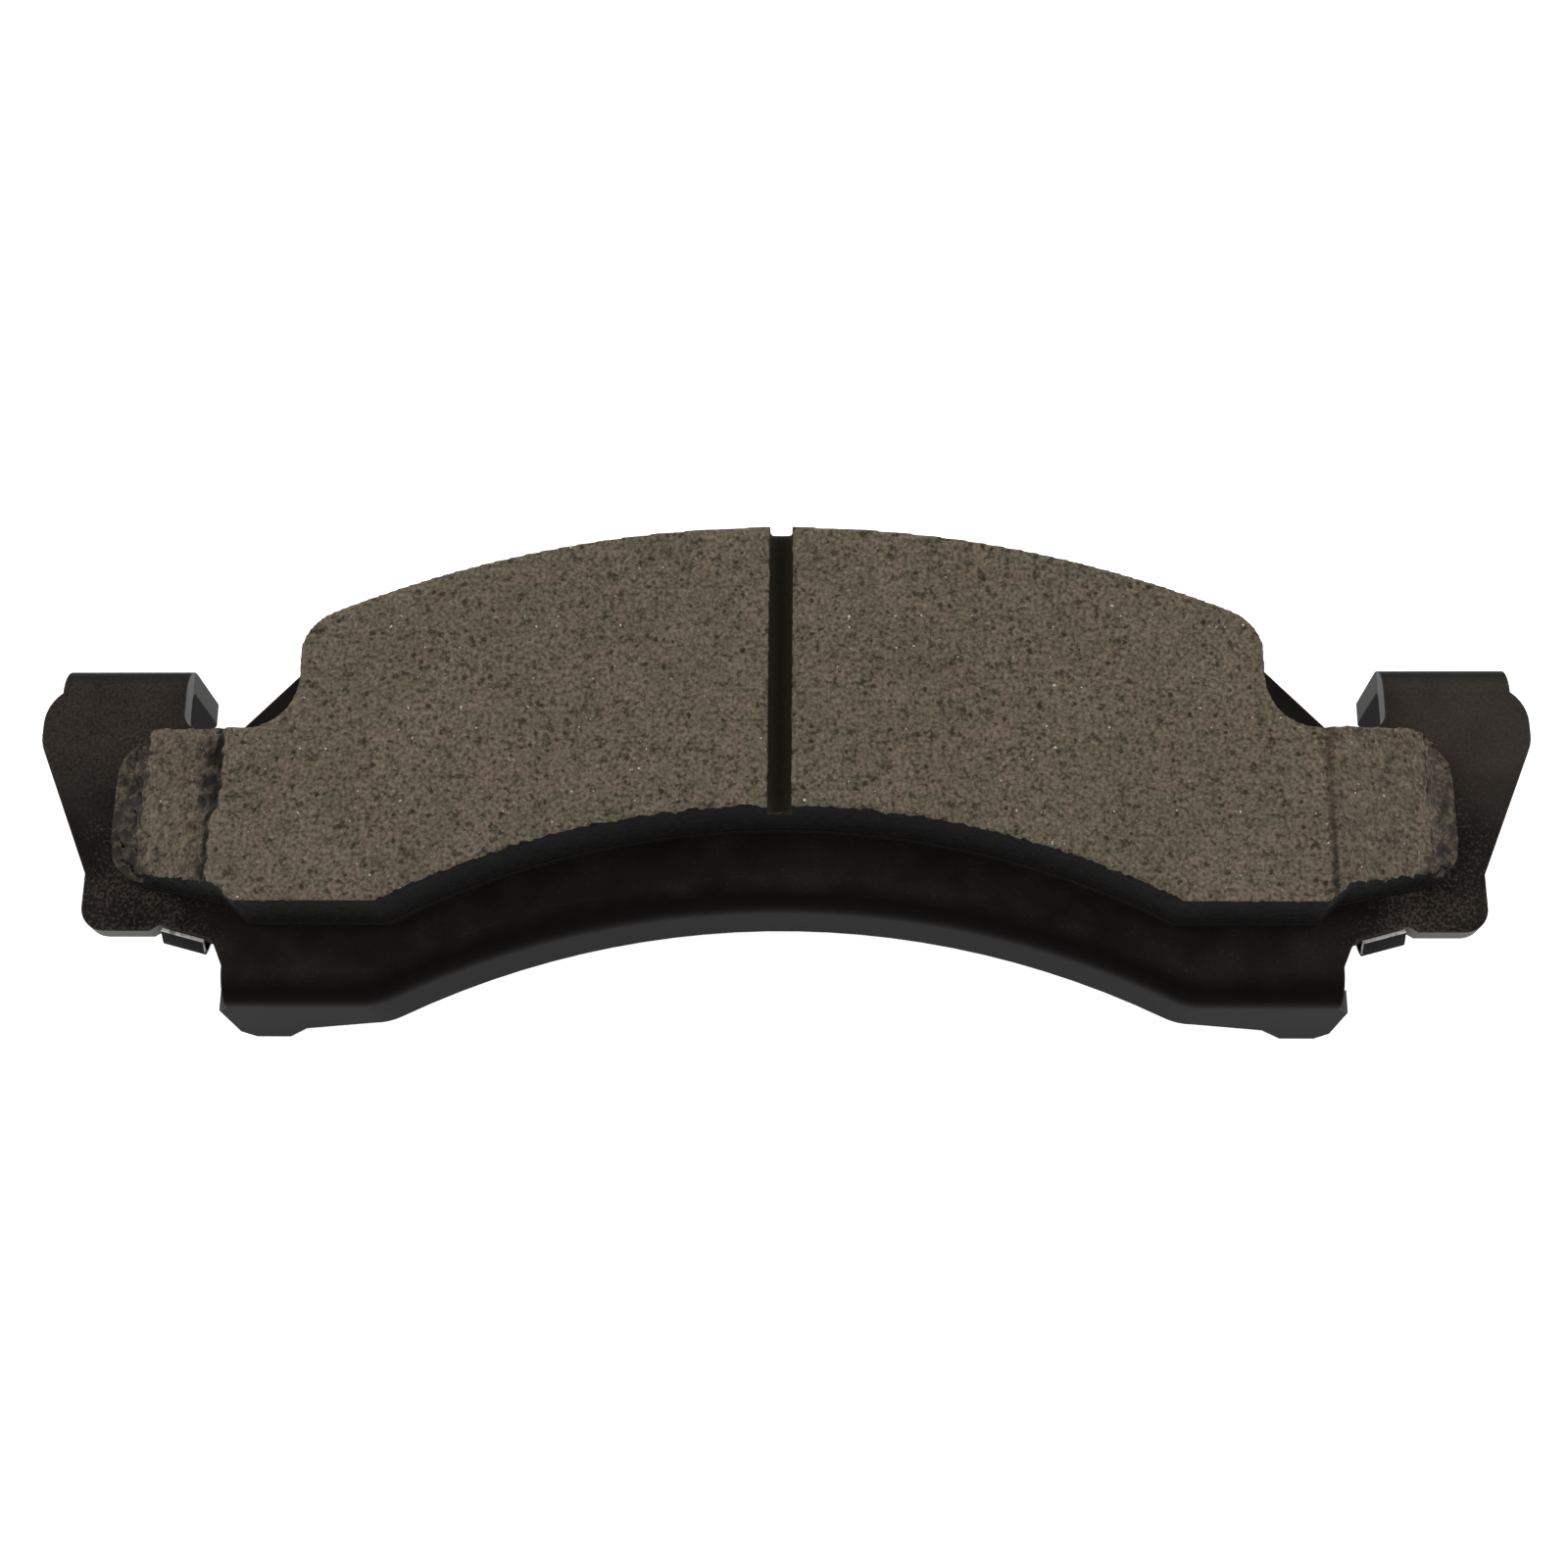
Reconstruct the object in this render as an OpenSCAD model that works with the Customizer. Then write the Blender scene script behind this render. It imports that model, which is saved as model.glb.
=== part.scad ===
// Outboard disc brake pad: a stamped steel backing plate with folded hooks and a folded lower
// flange, a bonded and slotted lining, and a laminated noise shim on the back.
// Millimetres. X runs along the pad, +Y points away from the rotor axis, +Z towards the rotor.
// The origin is the middle of the face that the caliper presses on (the back of the shim).
// Sizes ending in _h are heights above the rotor axis, measured along Y.

/* [Lining] */
// Radius of the outer edge of the lining about the rotor axis
lining_outer_r = 157.5; // [145:0.5:190]
// Radius of the inner edge of the lining about the rotor axis
lining_inner_r = 115.6; // [92:0.5:125]
// Length of the tall middle part of the lining
lining_block_l = 133.6; // [110:0.2:150]
// Length of the lining over both end wings
lining_total_l = 187.2; // [160:0.2:230]
// Height of the straight lower edge at each end of the lining
lining_foot_h = 102.2; // [95:0.2:112]
// Height of the upper edge of each end wing where it leaves the block
wing_top_h = 127.3; // [118:0.2:133]
// Thickness of the friction material above the underlayer
friction_t = 9.9; // [3:0.1:14]
// Distance between the two chamfer lines near the ends of the lining
chamfer_span = 151; // [120:0.5:170]
// Drop of each end chamfer at its outer end
chamfer_drop = 6; // [1:0.1:7.5]
// Width of the slot across the lining
slot_w = 3.05; // [2:0.05:6]
// Depth of the slot across the lining
slot_d = 3.1; // [1:0.1:6]
// Radius of the two outer shoulders of the lining
shoulder_r = 7; // [2:0.5:12]

/* [Layers] */
// Thickness of the thermal underlayer
underlayer_t = 1.8; // [1:0.1:3]
// Thickness of the cured adhesive film between plate and underlayer
bond_t = 0.2; // [0.1:0.05:0.4]
// Diameter of the moulding holes in the plate that the underlayer fills
plug_d = 12; // [6:0.5:16]
// Radial play between each underlayer plug and its hole
plug_play = 0.02; // [0:0.01:0.1]

/* [Backing plate] */
// Overall length of the pad from ear tip to ear tip
pad_l = 211.4; // [190:0.2:260]
// Thickness of the backing plate
plate_t = 3.2; // [2.4:0.1:4.5]
// Inner radius of the hook bends and the flange bend
bend_r = 1.6; // [1:0.1:3]
// Step from the lining edge out to the plate edge along the outer arc
plate_margin = 1; // [0.2:0.1:3]
// Height of the lower edge of the ears
ear_low_h = 101.5; // [96:0.2:108]
// Height of the outer face of the hooks
hook_top_h = 141.6; // [138:0.2:150]
// Width of each hook along X
hook_w = 17.9; // [8:0.1:22]
// Distance between the inner ends of the two hooks
hook_span = 171; // [160:0.5:185]
// Reach of the hooks behind the back face of the plate
hook_reach = 16.9; // [8:0.1:20]

/* [Lower flange] */
// Height of the lower face of the flange along its straight ends
flange_low_h = 91.8; // [86:0.2:96]
// Height of the lower face of the flange at the middle of its arch
flange_crown_h = 105.4; // [100:0.2:110]
// Radius of the arch along the lower face of the flange
flange_arc_r = 122.3; // [100:0.5:150]
// Radius where the arch meets each straight end
flange_corner_r = 9; // [7.5:0.5:14]
// Length of the flange along X
flange_l = 157.4; // [140:0.2:170]
// Reach of the flange behind the back face of the plate
flange_reach = 10.9; // [7:0.1:14]
// Reach of the two end tabs of the flange behind the back face of the plate
end_tab_reach = 19.8; // [14:0.1:24]
// Width of each end tab at its tip
end_tab_w = 6.6; // [4:0.1:12]

/* [Noise shim] */
// Thickness of the steel core of the shim
shim_t = 0.6; // [0.4:0.05:1]
// Thickness of the adhesive under the shim
shim_glue_t = 0.15; // [0.05:0.05:0.3]
// Thickness of the rubber coat on the caliper side of the shim
rubber_t = 0.15; // [0.05:0.05:0.4]
// Step from the plate edge in to the shim edge along the outer arc
shim_margin = 3; // [1:0.5:8]
// Width of each retaining tab of the shim
tab_w = 6.2; // [3:0.1:7]
// Inward lean of each retaining tab in degrees
tab_lean = 22; // [0:1:25]
// Gap between the tip of a retaining tab and the edge of the plate
tab_gap = 0.15; // [0.05:0.05:0.5]

/* [Hidden] */
// Circle smoothness for every arc
$fn = 110;
// Margin that makes cutters pass fully through
eps = 0.5;
// Halfway up the pad, which becomes Y = 0
mid_h = (lining_outer_r + flange_low_h) / 2;
// Heights of the layers along Z
shim_z = rubber_t;
glue_z = shim_z + shim_t;
plate_z = glue_z + shim_glue_t;
plate_front_z = plate_z + plate_t;
underlayer_z = plate_front_z + bond_t;
friction_z = underlayer_z + underlayer_t;
face_z = friction_z + friction_t;
// Outer radius of the bends, and the level where each bend turns into its leg
bend_outer_r = bend_r + plate_t;
leg_z = plate_front_z - bend_outer_r;
// Half lengths
block_x = lining_block_l / 2;
wing_x = lining_total_l / 2;
tip_x = pad_l / 2;
flange_x = flange_l / 2;
hook_x = hook_span / 2;
// Outer radius of the plate and radius of the shim edge
plate_r = lining_outer_r + plate_margin;
shim_r = plate_r - shim_margin;
// Slopes of the upper and lower edges of the wings in degrees
wing_rise = 7.5;
wing_low_rise = 12.5;
wing_corner_r = 6;
wing_fillet_r = 7;
// Where the slanted lower edge of a wing starts
wing_low_x = chamfer_span / 2 + 1;
wing_low_h = lining_foot_h + 2.7;
// Centre of the circle that carries the arch of the flange
arch_h = flange_crown_h - flange_arc_r;
// Line where the flange bend starts along the straight ends
run_h = flange_low_h + bend_outer_r;
// Centre of the corner between arch and straight end, and the angle where the arch ends
corner_h = flange_low_h + flange_corner_r;
corner_reach = flange_arc_r + flange_corner_r;
corner_x = sqrt(corner_reach * corner_reach - (corner_h - arch_h) * (corner_h - arch_h));
arch_a = atan2(corner_x, corner_h - arch_h);
// Line where the hook bends start
hook_h = hook_top_h - bend_outer_r;
// Level of the tips behind the plate
flange_tip_z = plate_z - flange_reach;
end_tab_z = plate_z - end_tab_reach;
hook_tip_z = plate_z - hook_reach;
// Slanted edge of the plate that carries each retaining tab: two ends, middle and slope
seat_a = [flange_x + 0.6, run_h + 3.8];
seat_b = [flange_x + 7.6, run_h + 5.7];
seat_mid = (seat_a + seat_b) / 2;
seat_slope = atan2(seat_b[1] - seat_a[1], seat_b[0] - seat_a[0]);
// Inner radius of the retaining tab bends, length of their legs, and how far the sheet runs
// past the plate edge before it turns
tab_r = 0.6;
tab_leg = (plate_front_z - 0.15 - shim_z - tab_r - shim_t - tab_r * sin(tab_lean))
    / cos(tab_lean);
tab_out = tab_gap + tab_leg * sin(tab_lean) - tab_r * cos(tab_lean);
// Radius of the ear tips
ear_r = 5.9;
// Centres of the moulding holes
plug_spots = [[21, 134], [51, 124]];

// Sub-parts that can be built one at a time

/* [Build] */
// Name of the sub-part to build, or all

// Area outside a circle between two directions: cutting it away rounds a corner
module corner_waste(c, r, a1, a2, far) {
    am = (a1 + a2) / 2;
    translate(c) difference() {
        polygon([[0, 0], far * [cos(a1), sin(a1)], 1.5 * far * [cos(am), sin(am)],
                 far * [cos(a2), sin(a2)]]);
        circle(r = r);
    }
}

// Points of one side followed by their mirror images, which closes a symmetric outline
function both_sides(pts) =
    concat(pts, [for (i = [len(pts) - 1 : -1 : 0]) [-pts[i][0], pts[i][1]]]);

// Height of the upper edge of a wing at a distance from the middle
function wing_top(x) = wing_top_h + (x - block_x - wing_fillet_r) * tan(wing_rise);

// Height of the slanted lower edge of a wing at a distance from the middle
function wing_low(x) = wing_low_h + (x - wing_low_x) * tan(wing_low_rise);

// Outline of the lining: an arched block with a rounded wing at each end
module lining_outline() {
    sx = block_x - shoulder_r;
    sy = sqrt((lining_outer_r - shoulder_r) * (lining_outer_r - shoulder_r) - sx * sx);
    ex = wing_x - wing_corner_r;
    ey_top = wing_top(ex) - wing_corner_r / cos(wing_rise);
    ey_low = wing_low(ex) + wing_corner_r / cos(wing_low_rise);
    fx = block_x + wing_fillet_r;
    fy = wing_top(fx) + wing_fillet_r / cos(wing_rise);
    difference() {
        polygon(both_sides([
            [wing_low_x - 3, lining_foot_h], [wing_low_x, wing_low_h],
            [wing_x, wing_low(wing_x)], [wing_x, wing_top(wing_x)],
            [fx + wing_fillet_r * sin(wing_rise), fy - wing_fillet_r * cos(wing_rise)],
            [fx, fy], [block_x, fy], [block_x, lining_outer_r + 1]]));
        circle(r = lining_inner_r);
        difference() {
            translate([-block_x - 1, fy]) square([lining_block_l + 2, lining_outer_r]);
            circle(r = lining_outer_r);
        }
        for (s = [0, 1]) mirror([s, 0, 0]) {
            translate([fx, fy]) circle(r = wing_fillet_r);
            corner_waste([sx, sy], shoulder_r, 0, atan2(sy, sx), 3 * shoulder_r);
            corner_waste([ex, ey_top], wing_corner_r, 0, 90 + wing_rise, 3 * wing_corner_r);
            corner_waste([ex, ey_low], wing_corner_r, wing_low_rise - 90, 0, 3 * wing_corner_r);
        }
    }
}

// Round areas of the moulding holes
module plug_outline(r) {
    for (s = [0, 1]) mirror([s, 0, 0])
        for (p = plug_spots) translate(p) circle(r = r);
}

// Flat part of the backing plate, up to the lines where its bends start
module plate_outline() {
    side_x = tip_x - 8.25;
    ear_x = tip_x - ear_r;
    nook_h = wing_top_h + 4;
    nook_r = 2.5;
    difference() {
        union() {
            polygon(both_sides([
                [flange_x - 1.5, run_h], [flange_x - 0.2, run_h + 3], seat_a, seat_b,
                [seat_b[0] + 1.3, ear_low_h], [side_x, ear_low_h], [side_x, ear_low_h + 8.3],
                [ear_x + 5.47, 128.2], [ear_x + 1, 130.4], [ear_x + 1, hook_h], [hook_x, hook_h],
                [hook_x, nook_h + nook_r], [hook_x - nook_r, nook_h + nook_r],
                [hook_x - nook_r, nook_h], [block_x + 10.2, nook_h],
                [block_x - 2.3, nook_h + 13.3], [block_x - 2.3, plate_r + 1]]));
            for (s = [0, 1]) mirror([s, 0, 0]) intersection() {
                union() {
                    translate([ear_x, 130.4]) circle(r = ear_r);
                    translate([ear_x, 132.2]) circle(r = ear_r);
                    translate([ear_x - ear_r, 130.4]) square([2 * ear_r, 1.8]);
                }
                translate([0, 120]) square([tip_x + 1, hook_h - 120]);
            }
        }
        translate([0, arch_h]) circle(r = flange_arc_r + bend_outer_r);
        difference() {
            translate([-block_x, nook_h + 5]) square([lining_block_l, plate_r]);
            circle(r = plate_r);
        }
        for (s = [0, 1]) mirror([s, 0, 0]) {
            translate([hook_x - nook_r, nook_h + nook_r]) circle(r = nook_r);
            corner_waste([corner_x, corner_h], flange_corner_r - bend_outer_r,
                         -90 - arch_a, -90, 3 * flange_corner_r);
            corner_waste([side_x - 3.5, ear_low_h + 3.5], 3.5, -90, 0, 8);
        }
    }
}

// Quarter ring of a bend; the bend starts at x = 0 and turns down towards +x.
// A short flat run behind it joins it to the plate.
module bend_section() {
    translate([0, leg_z]) intersection() {
        difference() {
            circle(r = bend_outer_r);
            circle(r = bend_r);
        }
        square(bend_outer_r);
    }
}

// Section through bend and straight leg
module leg_section(tip_z) {
    bend_section();
    translate([bend_r, tip_z]) square([plate_t, leg_z - tip_z]);
}

// Shape of the straight end of the flange seen along Y: X across, Z up
module flange_end_shape() {
    step_x = flange_x - end_tab_w - 3.5;
    polygon([[corner_x, leg_z], [corner_x, flange_tip_z], [step_x, flange_tip_z - 3.6],
             [flange_x - end_tab_w, end_tab_z], [flange_x - 1.6, end_tab_z],
             [flange_x, end_tab_z + 3.2], [flange_x, leg_z - 2], [flange_x - 1.5, leg_z]]);
}

// Shape of a hook leg seen along Y, with rounded corners at its tip
module hook_shape() {
    r = 3.5;
    difference() {
        translate([hook_x, hook_tip_z]) square([hook_w, leg_z - hook_tip_z]);
        corner_waste([hook_x + r, hook_tip_z + r], r, 180, 270, 3 * r);
        corner_waste([hook_x + hook_w - r, hook_tip_z + r], r, 270, 360, 3 * r);
    }
}

// Stamped steel plate with its two hooks and its lower flange
module backing_plate() {
    color("#2b2927") translate([0, -mid_h, 0]) {
        difference() {
            translate([0, 0, plate_z]) linear_extrude(plate_t) plate_outline();
            translate([0, 0, plate_z - eps])
                linear_extrude(plate_t + 2 * eps) plug_outline(plug_d / 2);
        }
        // arch of the flange
        translate([0, arch_h, 0]) rotate([0, 0, 90 - arch_a])
            rotate_extrude(angle = 2 * arch_a)
                translate([flange_arc_r + bend_outer_r, 0]) mirror([1, 0])
                    leg_section(flange_tip_z);
        for (s = [0, 1]) mirror([s, 0, 0]) {
            // rounded corner between arch and straight end
            translate([corner_x, corner_h, 0]) rotate([0, 0, -90 - arch_a])
                rotate_extrude(angle = arch_a)
                    translate([flange_corner_r - bend_outer_r, 0]) leg_section(flange_tip_z);
            // bend and leg of the straight end
            translate([corner_x, run_h, 0]) rotate([90, 0, 90])
                linear_extrude(flange_x - 1.5 - corner_x) mirror([1, 0]) bend_section();
            translate([0, flange_low_h + plate_t, 0]) rotate([90, 0, 0])
                linear_extrude(plate_t) flange_end_shape();
            // hook
            translate([hook_x, hook_h, 0]) rotate([90, 0, 90])
                linear_extrude(hook_w) bend_section();
            translate([0, hook_top_h, 0]) rotate([90, 0, 0])
                linear_extrude(plate_t) hook_shape();
        }
    }
}

// Cured adhesive film between the plate and the underlayer
module bond_film() {
    color("#3a2418") translate([0, -mid_h, plate_front_z]) linear_extrude(bond_t) difference() {
        lining_outline();
        plug_outline(plug_d / 2);
    }
}

// Thermal underlayer with the plugs that fill the moulding holes
module underlayer() {
    plug_r = plug_d / 2 - plug_play;
    color("#4a4038") translate([0, -mid_h, 0]) {
        translate([0, 0, underlayer_z]) linear_extrude(underlayer_t) lining_outline();
        translate([0, 0, plate_z])
            linear_extrude(plate_t + bond_t + underlayer_t / 2) plug_outline(plug_r);
    }
}

// Section of the slot, open at the rubbing face, with small radii along its floor
module slot_section() {
    r = 0.6;
    translate([-slot_w / 2, face_z - slot_d + r]) square([slot_w, slot_d]);
    translate([-slot_w / 2 + r, face_z - slot_d]) square([slot_w - 2 * r, slot_d]);
    for (s = [-1, 1]) translate([s * (slot_w / 2 - r), face_z - slot_d + r]) circle(r = r);
}

// Area cut off the end of the lining by the chamfer and the steep outer flank
module chamfer_section() {
    flank_x = wing_x - 4.3;
    polygon([[chamfer_span / 2, face_z], [chamfer_span / 2, face_z + 2],
             [wing_x + 2, face_z + 2], [wing_x + 2, friction_z + 0.5],
             [wing_x, friction_z + 0.5], [flank_x, face_z - chamfer_drop]]);
}

// Friction material with its slot and its chamfered ends
module friction_block() {
    color("#7d7268") translate([0, -mid_h, 0]) difference() {
        translate([0, 0, friction_z]) linear_extrude(friction_t) lining_outline();
        translate([0, lining_outer_r + 1, 0]) rotate([90, 0, 0])
            linear_extrude(lining_outer_r - lining_inner_r + 20) slot_section();
        for (s = [0, 1]) mirror([s, 0, 0])
            translate([0, lining_outer_r + 1, 0]) rotate([90, 0, 0])
                linear_extrude(lining_outer_r - lining_foot_h + 20) chamfer_section();
    }
}

// Flat area of the shim, kept inside the plate and clear of the flange bend
module shim_outline() {
    low_h = run_h + 1.4;
    nook_h = wing_top_h + 2;
    side_x = seat_b[0] + 4;
    difference() {
        polygon(both_sides([
            [flange_x - 2, low_h], seat_a + [-0.6, 1], seat_b + [-0.4, 1],
            [side_x - 1.8, seat_b[1] + 1], [side_x, seat_b[1] + 2.7], [side_x, nook_h - 2],
            [side_x - 2, nook_h], [block_x + 10, nook_h],
            [block_x - 2.8, nook_h + 13.3], [block_x - 2.8, plate_r]]));
        difference() {
            translate([-block_x, nook_h + 5]) square([lining_block_l, plate_r]);
            circle(r = shim_r);
        }
        translate([0, arch_h]) circle(r = flange_arc_r + bend_outer_r + 1.4);
    }
}

// Adhesive film under the shim
module shim_adhesive() {
    color("#7a6a55") translate([0, -mid_h, glue_z])
        linear_extrude(shim_glue_t) shim_outline();
}

// Section of a retaining tab beyond its flat tongue: it turns up and leans on the plate edge
module tab_section() {
    translate([tab_out, shim_z + tab_r + shim_t]) {
        intersection() {
            difference() {
                circle(r = tab_r + shim_t);
                circle(r = tab_r);
            }
            polygon([[0, 0], [0, -4], [4, -4], [4 * cos(tab_lean), 4 * sin(tab_lean)]]);
        }
        rotate(tab_lean) translate([tab_r, 0]) square([shim_t, tab_leg]);
    }
}

// Steel core of the noise shim with its two retaining tabs
module shim_core() {
    color("#4b4d4f") translate([0, -mid_h, 0]) {
        translate([0, 0, shim_z]) linear_extrude(shim_t) union() {
            shim_outline();
            for (s = [0, 1]) mirror([s, 0]) translate(seat_mid) rotate(seat_slope)
                translate([-tab_w / 2, -tab_out]) square([tab_w, tab_out + 3]);
        }
        for (s = [0, 1]) mirror([s, 0, 0])
            translate([seat_mid[0], seat_mid[1], 0]) rotate([0, 0, seat_slope])
                translate([tab_w / 2, 0, 0]) rotate([90, 0, -90])
                    linear_extrude(tab_w) tab_section();
    }
}

// Rubber coat on the caliper side of the shim
module shim_rubber() {
    color("#1d1e20") translate([0, -mid_h, 0])
        linear_extrude(rubber_t) shim_outline();
}

backing_plate();
bond_film();
underlayer();
friction_block();
shim_adhesive();
shim_core();
shim_rubber();
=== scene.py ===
import math

import bpy
import numpy as np
from mathutils import Matrix, Vector


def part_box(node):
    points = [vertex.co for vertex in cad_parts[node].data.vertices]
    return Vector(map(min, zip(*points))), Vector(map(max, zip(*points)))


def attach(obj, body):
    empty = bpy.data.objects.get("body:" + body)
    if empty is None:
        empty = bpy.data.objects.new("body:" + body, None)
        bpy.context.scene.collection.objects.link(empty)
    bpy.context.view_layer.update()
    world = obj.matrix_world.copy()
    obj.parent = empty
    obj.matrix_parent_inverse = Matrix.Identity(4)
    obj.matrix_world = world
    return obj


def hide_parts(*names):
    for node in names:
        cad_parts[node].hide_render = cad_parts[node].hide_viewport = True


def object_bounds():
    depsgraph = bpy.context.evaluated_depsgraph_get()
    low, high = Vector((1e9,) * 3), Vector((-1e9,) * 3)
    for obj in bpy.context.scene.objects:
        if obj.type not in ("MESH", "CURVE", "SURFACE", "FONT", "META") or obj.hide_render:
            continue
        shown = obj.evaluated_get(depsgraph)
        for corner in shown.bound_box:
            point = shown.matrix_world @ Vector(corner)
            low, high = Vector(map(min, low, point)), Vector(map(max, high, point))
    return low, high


bl_info = {
    "name": "Disc brake pad with a moulded lining",
    "version": (1, 0, 0),
    "blender": (4, 5, 0),
    "location": "3D View > Sidebar > Brake Pad",
    "description": "Dresses the packed brake pad: lining, stamped backing plate, shim and studio",
    "category": "Object",
}

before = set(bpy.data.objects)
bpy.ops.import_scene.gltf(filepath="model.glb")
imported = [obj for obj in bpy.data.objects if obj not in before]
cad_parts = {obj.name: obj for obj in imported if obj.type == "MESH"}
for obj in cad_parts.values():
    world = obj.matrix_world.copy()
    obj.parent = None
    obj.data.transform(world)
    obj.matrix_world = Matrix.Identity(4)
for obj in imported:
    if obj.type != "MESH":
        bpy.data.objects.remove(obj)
CAD_BOX = [list(corner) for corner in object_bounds()]
MM = 0.001

# Marks that the mould left on the lining, in mm from the middle of the pad.
LEFT_STEP = 76.5      # upper end of the torn step that sets the left wing apart
STEP_SHIFT = 1.1      # how much further out the lower half of the step lies
RIGHT_CREASE = 74.3   # crease that sets the right wing apart
WING_LEAN = 0.4       # how far the wing ends lean in at the face

# Angles that tell faces, soft bends and sheared edges of the sheet parts from each other.
FLAT_ANGLE = math.radians(0.8)
SOFT_ANGLE = math.radians(35)
SHARP_ANGLE = math.radians(40)
CRUMBLE_ANGLE = math.radians(50)

# Stage, in metres and radians.
FLOOR_SIZE = 6.0
FLOOR_GAP = 0.2 * MM
CAMERA_PLACE = (0.00725, -0.10903, 0.31769)
CAMERA_PITCH = math.radians(18.91)
CAMERA_ROLL = math.radians(1.187)


# ---------------------------------------------------------------- small tools

def hex_linear(text):
    """An sRGB hex colour as the linear colour that a shader socket takes."""
    values = [int(text[i:i + 2], 16) / 255 for i in (1, 3, 5)]
    return tuple(v / 12.92 if v <= 0.04045 else ((v + 0.055) / 1.055) ** 2.4 for v in values) + (1.0,)


def srgb_default(text):
    """The same colour for a colour property, which holds three linear numbers."""
    return hex_linear(text)[:3]


def add(tree, kind, settings=None, inputs=None, stops=None):
    """Adds one shader node with its settings, its socket values and its links."""
    made = tree.nodes.new(kind)
    for name, value in (settings or {}).items():
        setattr(made, name, value)
    for socket, value in (inputs or {}).items():
        if isinstance(value, bpy.types.NodeSocket):
            tree.links.new(value, made.inputs[socket])
        else:
            made.inputs[socket].default_value = value
    if stops:
        elements = made.color_ramp.elements
        while len(elements) < len(stops):
            elements.new(0.5)
        for element, (place, shade) in zip(elements, stops):
            element.position = place
            element.color = (shade, shade, shade, 1) if isinstance(shade, (int, float)) else shade
    return made


def new_material(name):
    """An empty node material with a Principled shader on its output."""
    material = bpy.data.materials.new(name)
    material.use_nodes = True
    tree = material.node_tree
    tree.nodes.clear()
    shader = add(tree, "ShaderNodeBsdfPrincipled")
    add(tree, "ShaderNodeOutputMaterial", inputs={"Surface": shader.outputs[0]})
    return material, tree, shader


def dress(piece, material):
    """Gives a piece this material and nothing else."""
    piece.data.materials.clear()
    piece.data.materials.append(material)


def deselect():
    """Leaves edit mode and selects nothing."""
    if bpy.context.object and bpy.context.object.mode != "OBJECT":
        bpy.ops.object.mode_set(mode="OBJECT")
    bpy.ops.object.select_all(action="DESELECT")


def activate(piece):
    """Selects this piece alone and makes it the active one."""
    deselect()
    piece.select_set(True)
    bpy.context.view_layer.objects.active = piece


def copy_of_node(node, name):
    """A merged copy of a CAD node's mesh as a new piece that stands for it."""
    piece = bpy.data.objects.new(name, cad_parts[node].data.copy())
    piece.data.name = name
    bpy.context.scene.collection.objects.link(piece)
    activate(piece)
    bpy.ops.object.mode_set(mode="EDIT")
    bpy.ops.mesh.select_all(action="SELECT")
    bpy.ops.mesh.remove_doubles(threshold=0.002 * MM)
    bpy.ops.object.mode_set(mode="OBJECT")
    return piece


def drop_inner_walls(piece):
    """Deletes the hidden walls where two runs of the flange meet inside the metal."""
    uses = {}
    for face in piece.data.polygons:
        for key in face.edge_keys:
            uses[key] = uses.get(key, 0) + 1
    seam = {point for key, count in uses.items() if count > 2 for point in key}
    activate(piece)
    bpy.ops.object.mode_set(mode="EDIT")
    bpy.ops.mesh.select_mode(type="FACE")
    bpy.ops.mesh.select_all(action="DESELECT")
    bpy.ops.object.mode_set(mode="OBJECT")
    for face in piece.data.polygons:
        face.select = abs(face.normal.x) > 0.999 and seam.issuperset(face.vertices)
    bpy.ops.object.mode_set(mode="EDIT")
    bpy.ops.mesh.delete(type="FACE")
    bpy.ops.object.mode_set(mode="OBJECT")


def apply_modifier(piece, kind, **settings):
    """Adds one modifier, sets it and applies it."""
    made = piece.modifiers.new(kind.title(), kind)
    for name, value in settings.items():
        setattr(made, name, value)
    activate(piece)
    bpy.ops.object.modifier_apply(modifier=made.name)


def round_edges(piece, width, segments, **settings):
    """Joins the facets of each flat face, rounds the sharp edges and smooths the soft ones."""
    activate(piece)
    bpy.ops.object.mode_set(mode="EDIT")
    bpy.ops.mesh.select_all(action="SELECT")
    bpy.ops.mesh.dissolve_limited(angle_limit=FLAT_ANGLE)
    bpy.ops.object.mode_set(mode="OBJECT")
    apply_modifier(piece, "BEVEL", width=width, segments=segments, limit_method="ANGLE",
                   angle_limit=SHARP_ANGLE, **settings)
    activate(piece)
    bpy.ops.object.shade_smooth_by_angle(angle=SOFT_ANGLE)


def weigh(piece, name, weights):
    """A vertex group from an array of weights between 0 and 1, in twenty steps."""
    group = piece.vertex_groups.new(name=name)
    steps = np.rint(np.clip(weights, 0, 1) * 20).astype(int)
    for step in range(1, 21):
        members = np.nonzero(steps == step)[0].tolist()
        if members:
            group.add(members, step / 20, "REPLACE")


def clouds(name, size_mm, depth, contrast):
    """A cloud texture with lumps of this size, which the Displace modifier reads."""
    texture = bpy.data.textures.new(name, "CLOUDS")
    texture.noise_scale = size_mm * MM
    texture.noise_depth = depth
    texture.contrast = contrast
    return texture


def ramp_between(values, low, high):
    """Rises smoothly from 0 where values are at low to 1 where they are at high."""
    t = np.clip((values - low) / (high - low), 0, 1)
    return t * t * (3 - 2 * t)


def finish_piece(piece, nodes):
    """Hangs the piece on the root body and hides the CAD nodes that it stands for."""
    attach(piece, "root")
    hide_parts(*nodes)


# ------------------------------------------------------------------ properties

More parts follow.
